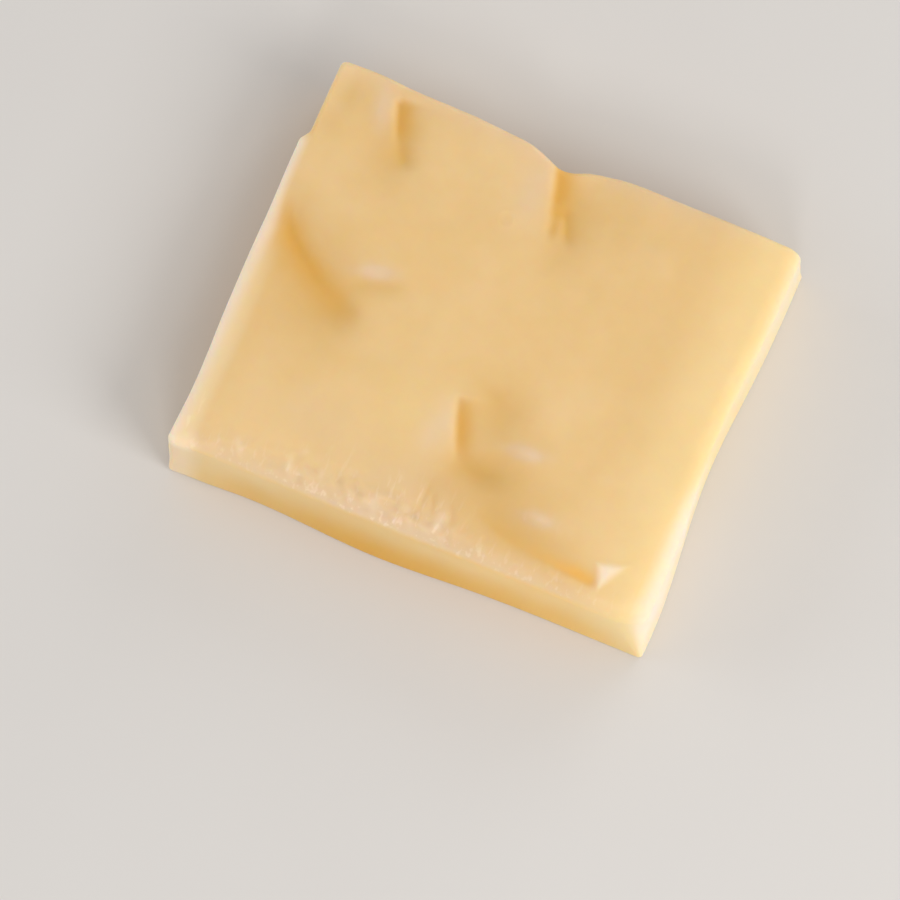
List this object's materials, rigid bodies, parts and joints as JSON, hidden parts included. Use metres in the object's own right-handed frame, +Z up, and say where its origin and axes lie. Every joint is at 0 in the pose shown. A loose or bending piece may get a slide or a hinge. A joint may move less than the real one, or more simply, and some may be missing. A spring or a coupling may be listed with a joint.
{
  "type": "cheddar block",
  "caption": "Thick hand-cut rectangular block of pale cheddar lying flat, with pressed-in folds, a split back edge and softly rounded rims.",
  "frame": {"origin": "middle of the bounding box, at the level of the flat underside", "axes": "+X along the longer edge, +Y towards the edge with the deep split, +Z up"},
  "size_m": [0.1046, 0.0896, 0.0238],
  "materials": {
    "cheddar": "smooth and faintly moist, pale yellow"
  },
  "bodies": {
    "root": {"cheddar_block": "cheddar"}
  },
  "joints": []
}
